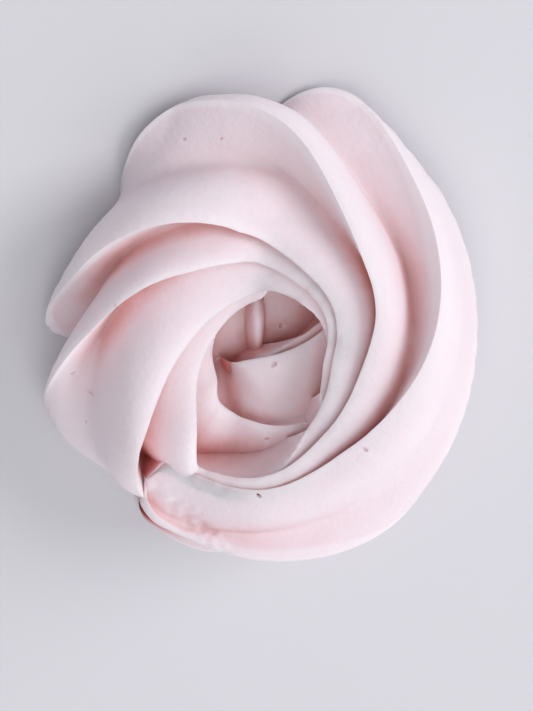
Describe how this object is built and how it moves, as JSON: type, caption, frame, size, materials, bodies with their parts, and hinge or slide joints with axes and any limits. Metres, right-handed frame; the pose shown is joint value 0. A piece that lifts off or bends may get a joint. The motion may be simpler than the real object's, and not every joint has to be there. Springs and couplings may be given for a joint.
{
  "type": "meringue cookie",
  "caption": "Piped meringue cookie: a low rosette of one ridged strand wound clockwise round an off-centre eye, with a flat back.",
  "frame": {"origin": "centre of the cookie's box, on its flat back", "axes": "+Z out of the piped face, +X to the viewer's right and +Y up as the swirl is seen from the front"},
  "size_m": [0.0438, 0.0492, 0.0149],
  "materials": {
    "meringue": "dry, very pale pink, fine matt sugar crust"
  },
  "bodies": {
    "root": {"meringue": "meringue"}
  },
  "joints": []
}
